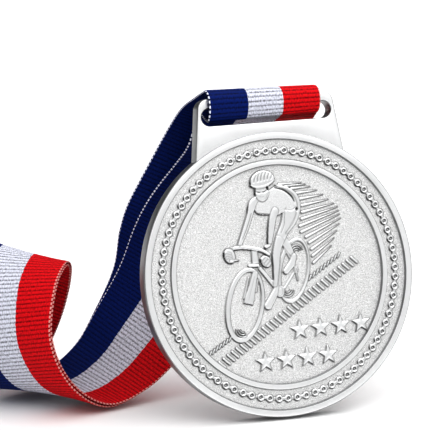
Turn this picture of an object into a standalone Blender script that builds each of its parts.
"""Sports finisher medal on a folded neck ribbon: one cast disc with a slotted hanger tab,
a striped ribbon looped through the slot, the rolled-up rest of that loop, and its seam thread.

Millimetres in the constants, metres in the scene. +Z is up, the medal's face looks towards -Y,
and the medal stands on its rim, leaning back. Run with blender --background --python part.py.
"""

import math

import bmesh
import bpy
import numpy as np
from mathutils import Matrix, Vector

MM = 0.001

# ---- where the medal stands --------------------------------------------------------------
FOOT = (18.1, -43.7, -0.06)    # corner of the disc's back rim under its centre, before the bevel
LEAN = math.radians(10.7)      # how far the face tips back from upright
ROLL = math.radians(2.0)       # how far the hanger tab turns anticlockwise, seen from the front

# ---- medal casting -----------------------------------------------------------------------
DISC_R = 30.0
DISC_T = 3.8
RIM_IN_R = 28.55               # inner edge of the flat rim
EDGE_BEVEL = 0.3
CHAIN_OUT_R, CHAIN_IN_R = 27.1, 25.2    # raised band that carries the chain pattern
RING_OUT_R, RING_IN_R = 24.15, 23.13    # plain raised ring round the picture
FIELD_DEPTH = 0.7              # sunken ground inside the ring
CHANNEL_DEPTH = 0.55           # sunken ground between the ring and the rim
CHAIN_DEPTH = 0.15             # top of the chain band below the rim
RING_DEPTH = 0.1               # top of the ring below the rim
WALL_SLOPE = 0.15              # draft of every raised edge
DISC_STEPS = 120

TAB_T = 3.4
TAB_TOP = 37.9                 # height of the tab's top above the disc's centre
TAB_TOP_HALF = 15.2
TAB_FOOT_HALF = 16.6
TAB_CORNER_R = 2.4
TAB_ROOT_R = 29.3              # the tab starts inside the rim
SLOT_LENGTH, SLOT_HEIGHT = 28.9, 3.6
SLOT_V = 34.0                  # height of the slot's centre line above the disc's centre
BAR_V = (TAB_TOP + SLOT_V + SLOT_HEIGHT / 2) / 2    # centre line of the bar over the slot

# ---- ribbon ------------------------------------------------------------------------------
RIBBON_W = 25.0
RIBBON_T = 0.45
STRIPES = (8.5, 8.0, 8.5)      # blue, white, red
STRAND_OFFSET = 0.35           # from the middle of the doubled ribbon to each strand's middle
WRAP_R = 2.75                  # middle of the cloth round the bar
WRAP_SHIFT = -0.4              # the ribbon sits a little left of the slot's middle
WRAP_STEPS = 14
STEP = 2.2                     # spacing of the ribbon's cross sections

# Sections of the strand that comes over the bar, of the strand that comes out of the slot, and
# of the two together: x, y, z, then the width direction's turn about Z and its tilt, in degrees.
OVER_BAR = (
    (16.2, -25.2, 64.2, 0, -8),
    (15.1, -19.9, 60.3, -1, -15),
    (13.3, -16.7, 54.8, -7, -22),
    (11.1, -14.7, 49.4, -12, -24),
    (8.3, -13.4, 43.0, -14, -24),
    (5.5, -12.8, 35.8, -22, -24),
    (3.4, -12.8, 28.5, -34, -25),
    (0.9, -13.5, 20.9, -45, -24),
)
OUT_OF_SLOT = (
    (16.2, -27.1, 59.4, 4, -10),
    (14.9, -22.9, 54.4, 11, -8),
    (13.1, -19.5, 48.2, 7, -15),
    (10.6, -16.9, 41.6, -5, -21),
    (7.9, -15.3, 35.2, -20, -24),
    (4.7, -14.6, 28.6, -34, -25),
    (0.7, -14.3, 21.2, -45, -24),
)
TOGETHER = (
    (-6.9, -14.2, 11.6, -59, -21),
    (-12.9, -15.2, 5.8, -66, -13),
    (-21.9, -18.7, 2.4, -66, -4),
    (-31.9, -23.2, 5.4, -57, 10),
    (-37.9, -25.0, 15.4, -48, 12),
    (-37.4, -21.5, 26.5, -36, 7),
    (-33.9, -15.9, 31.8, -35, -2),
    (-31.4, -10.2, 32.0, -34, -14),
    (-30.9, -5.7, 27.6, -29, -19),
    (-32.2, -2.7, 20.6, -23, -20),
    (-34.4, 1.3, 12.6, -17, -17),
    (-35.9, 7.8, 5.6, -15, -9),
    (-35.4, 15.8, 2.0, -13, -2),
    (-33.7, 24.3, 0.9, -13, 0),
    (-32.3, 30.3, 0.9, -13, 0),
)
ROLL_R = 9.3                   # outside of the rolled-up ribbon
ROLL_CORE_R = 3.0
ROLL_GAP = 0.3
ROLL_STEPS = 64

# ---- seam --------------------------------------------------------------------------------
SEAM_ALONG = 4.5               # from the last section back to the middle of the stitching
SEAM_W = 22.0
SEAM_DEPTH = 5.0               # length of one zigzag stroke along the ribbon
SEAM_PITCH = 1.1
THREAD_R = 0.16


# ---- small helpers -----------------------------------------------------------------------
def material(name, colour, roughness, metallic=0.0):
    mat = bpy.data.materials.new(name)
    mat.use_nodes = True
    shader = mat.node_tree.nodes["Principled BSDF"]
    shader.inputs["Base Color"].default_value = (*colour, 1.0)
    shader.inputs["Roughness"].default_value = roughness
    shader.inputs["Metallic"].default_value = metallic
    return mat


def add_object(name, mesh, mats=()):
    obj = bpy.data.objects.new(name, mesh)
    bpy.context.scene.collection.objects.link(obj)
    for mat in mats:
        mesh.materials.append(mat)
    return obj


def mesh_from(name, bm):
    bmesh.ops.recalc_face_normals(bm, faces=bm.faces)
    mesh = bpy.data.meshes.new(name)
    bm.to_mesh(mesh)
    bm.free()
    return mesh


def medal_axes():
    """Columns: along the slot, up the medal's face, out of its face."""
    face = Vector((0.0, -math.cos(LEAN), math.sin(LEAN)))
    rise = Vector((0.0, math.sin(LEAN), math.cos(LEAN)))
    across = Vector((1.0, 0.0, 0.0))
    slot = across * math.cos(ROLL) + rise * math.sin(ROLL)
    up = rise * math.cos(ROLL) - across * math.sin(ROLL)
    centre = Vector(FOOT) + rise * DISC_R + face * DISC_T
    return slot, up, face, centre


def medal_matrix():
    """Takes the medal's own frame (X along the slot, Y up its face, Z out of its face) to the scene."""
    slot, up, face, centre = medal_axes()
    turn = Matrix((slot, up, face)).transposed().to_4x4()
    return Matrix.Translation(centre * MM) @ turn


# ---- medal casting -----------------------------------------------------------------------
def disc_profile():
    """Radius and height below the face, from the middle of the face round to the middle of the back."""
    s = WALL_SLOPE
    return (
        (0.0, -FIELD_DEPTH),
        (RING_IN_R - s, -FIELD_DEPTH),
        (RING_IN_R, -RING_DEPTH),
        (RING_OUT_R, -RING_DEPTH),
        (RING_OUT_R + s, -CHANNEL_DEPTH),
        (CHAIN_IN_R - s, -CHANNEL_DEPTH),
        (CHAIN_IN_R, -CHAIN_DEPTH),
        (CHAIN_OUT_R, -CHAIN_DEPTH),
        (CHAIN_OUT_R + s, -CHANNEL_DEPTH),
        (RIM_IN_R - s, -CHANNEL_DEPTH),
        (RIM_IN_R, 0.0),
        (DISC_R - EDGE_BEVEL, 0.0),
        (DISC_R, -EDGE_BEVEL),
        (DISC_R, -DISC_T + EDGE_BEVEL),
        (DISC_R - EDGE_BEVEL, -DISC_T),
        (0.0, -DISC_T),
    )


def disc_mesh():
    bm = bmesh.new()
    rings = []
    for radius, height in disc_profile():
        if radius == 0.0:
            rings.append([bm.verts.new((0.0, 0.0, height * MM))])
            continue
        rings.append([
            bm.verts.new((radius * MM * math.cos(a), radius * MM * math.sin(a), height * MM))
            for a in (2 * math.pi * i / DISC_STEPS for i in range(DISC_STEPS))
        ])
    for inner, outer in zip(rings, rings[1:]):
        for i in range(DISC_STEPS):
            j = (i + 1) % DISC_STEPS
            if len(inner) == 1:
                bm.faces.new((inner[0], outer[i], outer[j]))
            elif len(outer) == 1:
                bm.faces.new((inner[i], outer[0], inner[j]))
            else:
                bm.faces.new((inner[i], outer[i], outer[j], inner[j]))
    return mesh_from("medal_casting", bm)


def tab_outline():
    """Counter-clockwise outline: up the right side, round both top corners, back along the root arc."""
    points = [(TAB_FOOT_HALF, math.sqrt(DISC_R**2 - TAB_FOOT_HALF**2))]
    lean = math.atan2(TAB_FOOT_HALF - TAB_TOP_HALF, TAB_TOP - points[0][1])
    for side, first in ((1, lean), (-1, math.pi / 2)):
        x = side * (TAB_TOP_HALF - TAB_CORNER_R)
        sweep = math.pi / 2 - lean
        for i in range(9):
            a = first + sweep * i / 8
            points.append((x + TAB_CORNER_R * math.cos(a), TAB_TOP - TAB_CORNER_R * (1 - math.sin(a))))
    points.append((-points[0][0], points[0][1]))
    root = math.asin(TAB_FOOT_HALF / DISC_R)
    for i in range(25):
        a = math.pi / 2 + root - 2 * root * i / 24
        points.append((TAB_ROOT_R * math.cos(a), TAB_ROOT_R * math.sin(a)))
    return points


def slot_outline():
    r = SLOT_HEIGHT / 2
    half = SLOT_LENGTH / 2 - r
    points = []
    for side, first in ((1, -math.pi / 2), (-1, math.pi / 2)):
        for i in range(13):
            a = first + math.pi * i / 12
            points.append((side * half + r * math.cos(a), SLOT_V + r * math.sin(a)))
    return points


def prism(name, outline, low, high):
    bm = bmesh.new()
    base = bm.faces.new([bm.verts.new((x * MM, y * MM, low * MM)) for x, y in outline])
    grown = bmesh.ops.extrude_face_region(bm, geom=[base])
    top = [v for v in grown["geom"] if isinstance(v, bmesh.types.BMVert)]
    bmesh.ops.translate(bm, verts=top, vec=(0.0, 0.0, (high - low) * MM))
    return mesh_from(name, bm)


def add_boolean(obj, cutter, operation):
    mod = obj.modifiers.new(operation.lower(), "BOOLEAN")
    mod.operation = operation
    mod.solver = "EXACT"
    mod.object = cutter
    cutter.hide_render = True
    cutter.display_type = "WIRE"


def build_medal():
    silver = material("satin_silver", (0.78, 0.79, 0.80), 0.34, 1.0)
    place = medal_matrix()
    medal = add_object("medal_casting", disc_mesh(), [silver])
    recess = (DISC_T - TAB_T) / 2
    tab = add_object("tab_guide", prism("tab_guide", tab_outline(), -DISC_T + recess, -recess))
    slot = add_object("slot_cutter", prism("slot_cutter", slot_outline(), -DISC_T - 1, 1))
    add_boolean(medal, tab, "UNION")
    add_boolean(medal, slot, "DIFFERENCE")
    for obj in (medal, tab, slot):
        obj.matrix_world = place
    medal.data.shade_smooth()
    medal.data.set_sharp_from_angle(angle=math.radians(20))


# ---- ribbon ------------------------------------------------------------------------------
def width_vector(turn, tilt):
    a, b = math.radians(turn), math.radians(tilt)
    return np.array((math.cos(a) * math.cos(b), math.sin(a) * math.cos(b), math.sin(b)))


def stations(rows):
    return np.array([[*row[:3], *width_vector(*row[3:])] for row in rows])


def normals(path):
    """Unit normals of a run of sections, square to the run and to its width."""
    run = np.gradient(path[:, :3], axis=0)
    out = np.cross(run, path[:, 3:])
    return out / np.linalg.norm(out, axis=1)[:, None]


def smooth_run(knots, step):
    """Sections about step apart on a centripetal Catmull-Rom curve through the knots."""
    ends = (2 * knots[0] - knots[1], 2 * knots[-1] - knots[-2])
    p = np.vstack([ends[0], knots, ends[1]])
    gaps = np.sqrt(np.linalg.norm(np.diff(p[:, :3], axis=0), axis=1))
    t = np.concatenate([[0.0], np.cumsum(gaps)])
    rows = []
    for k in range(1, len(p) - 2):
        span = np.linalg.norm(p[k + 1, :3] - p[k, :3])
        count = max(1, round(span / step))
        for u in np.linspace(t[k], t[k + 1], count, endpoint=False):
            a = [((t[j + 1] - u) * p[j] + (u - t[j]) * p[j + 1]) / (t[j + 1] - t[j])
                 for j in (k - 1, k, k + 1)]
            b = [((t[j + 2] - u) * a[i] + (u - t[j]) * a[i + 1]) / (t[j + 2] - t[j])
                 for i, j in enumerate((k - 1, k))]
            rows.append(((t[k + 1] - u) * b[0] + (u - t[k]) * b[1]) / (t[k + 1] - t[k]))
    rows.append(p[-2])
    run = np.array(rows)
    run[:, 3:] /= np.linalg.norm(run[:, 3:], axis=1)[:, None]
    return run


def wrap_sections():
    """Round the bar, from the back over the top and down the front into the slot."""
    slot, up, face, centre = (np.array(v) for v in medal_axes())
    bar = centre + up * BAR_V - face * DISC_T / 2 + slot * WRAP_SHIFT
    rows = []
    for i in range(WRAP_STEPS + 1):
        a = math.pi / 2 - math.pi * i / WRAP_STEPS
        rows.append([*(bar + WRAP_R * (face * math.cos(a) + up * math.sin(a))), *slot])
    return np.array(rows)


def ribbon_path():
    """Sections from the far end up the rear strand, round the bar and back down the front strand."""
    both = stations(TOGETHER)
    shift = normals(both) * STRAND_OFFSET
    rear, front = both.copy(), both.copy()
    rear[:, :3] -= shift
    front[:, :3] += shift
    wrap = wrap_sections()
    over = smooth_run(np.vstack([wrap[:1], stations(OVER_BAR), rear]), STEP)
    out = smooth_run(np.vstack([wrap[-1:], stations(OUT_OF_SLOT), front]), STEP)
    return np.vstack([over[:0:-1], wrap, out[1:]])


def strip_mesh(name, path, thickness):
    """A closed flat strip with one column of faces for each stripe."""
    edges = [-sum(STRIPES) / 2]
    for stripe in STRIPES:
        edges.append(edges[-1] + stripe)
    lift = normals(path) * thickness / 2
    bm = bmesh.new()
    rows = []
    for section, up in zip(path, lift):
        centre, wide = section[:3], section[3:]
        over = [bm.verts.new((centre + wide * e + up) * MM) for e in edges]
        under = [bm.verts.new((centre + wide * e - up) * MM) for e in reversed(edges)]
        rows.append(over + under)
    stripe_of = (0, 1, 2, 2, 2, 1, 0, 0)
    count = len(rows[0])
    for one, two in zip(rows, rows[1:]):
        for i in range(count):
            j = (i + 1) % count
            bm.faces.new((one[i], one[j], two[j], two[i])).material_index = stripe_of[i]
    for row in (rows[0], rows[-1]):
        for i in range(len(STRIPES)):
            face = bm.faces.new((row[i], row[i + 1], row[count - 2 - i], row[count - 1 - i]))
            face.material_index = i
    return mesh_from(name, bm)


def ribbon_materials():
    return [
        material("ribbon_blue", (0.010, 0.035, 0.24), 0.8),
        material("ribbon_white", (0.82, 0.83, 0.90), 0.8),
        material("ribbon_red", (0.60, 0.005, 0.012), 0.8),
    ]


def build_ribbon():
    add_object("neck_ribbon", strip_mesh("neck_ribbon", ribbon_path(), RIBBON_T), ribbon_materials())


def roll_frame():
    """The roll's centre, its axis, and the level direction in which the ribbon arrives."""
    last = stations(TOGETHER)[-1]
    axis = last[3:]
    onward = np.cross((0.0, 0.0, 1.0), axis)
    if onward @ (last[:3] - stations(TOGETHER)[-2][:3]) < 0:
        onward = -onward
    drop = ROLL_R - (last[2] + STRAND_OFFSET + RIBBON_T / 2)
    ahead = math.sqrt(ROLL_R**2 - drop**2) + ROLL_GAP
    centre = last[:3] + onward * ahead
    centre[2] = ROLL_R
    return centre, axis, onward


def build_roll():
    """The wound-up rest of the loop, as a plain ring."""
    centre, axis, onward = roll_frame()
    bm = bmesh.new()
    rings = []
    for radius, along in ((ROLL_R, -0.5), (ROLL_R, 0.5), (ROLL_CORE_R, 0.5), (ROLL_CORE_R, -0.5)):
        ring = []
        for i in range(ROLL_STEPS):
            a = 2 * math.pi * i / ROLL_STEPS
            spoke = onward * math.cos(a) + np.array((0.0, 0.0, 1.0)) * math.sin(a)
            ring.append(bm.verts.new((centre + spoke * radius + axis * along * RIBBON_W) * MM))
        rings.append(ring)
    for one, two in zip(rings, rings[1:] + rings[:1]):
        for i in range(ROLL_STEPS):
            j = (i + 1) % ROLL_STEPS
            bm.faces.new((one[i], one[j], two[j], two[i]))
    add_object("ribbon_roll", mesh_from("ribbon_roll", bm), [material("rolled_ribbon", (0.82, 0.83, 0.90), 0.8)])


# ---- seam --------------------------------------------------------------------------------
def build_seam():
    """White thread zigzagged across the lap where the loop's two ends are sewn together."""
    last = stations(TOGETHER)[-1]
    _, axis, onward = roll_frame()
    lift = STRAND_OFFSET + RIBBON_T / 2 + THREAD_R + ROLL_GAP
    middle = last[:3] - onward * SEAM_ALONG + np.array((0.0, 0.0, lift))
    strokes = round(SEAM_W / SEAM_PITCH)
    points = []
    for i in range(strokes + 1):
        side = SEAM_DEPTH / 2 * (1 if i % 2 else -1)
        points.append(middle + axis * (SEAM_PITCH * i - SEAM_W / 2) + onward * side)
    curve = bpy.data.curves.new("seam_thread", "CURVE")
    curve.dimensions = "3D"
    curve.bevel_depth = THREAD_R * MM
    curve.bevel_resolution = 1
    curve.use_fill_caps = True
    spline = curve.splines.new("POLY")
    spline.points.add(len(points) - 1)
    for point, place in zip(spline.points, points):
        point.co = (*(place * MM), 1.0)
    add_object("seam_thread", curve, [material("thread", (0.86, 0.86, 0.88), 0.6)])


def main():
    for obj in list(bpy.data.objects):
        bpy.data.objects.remove(obj, do_unlink=True)
    build_medal()
    build_ribbon()
    build_roll()
    build_seam()


main()
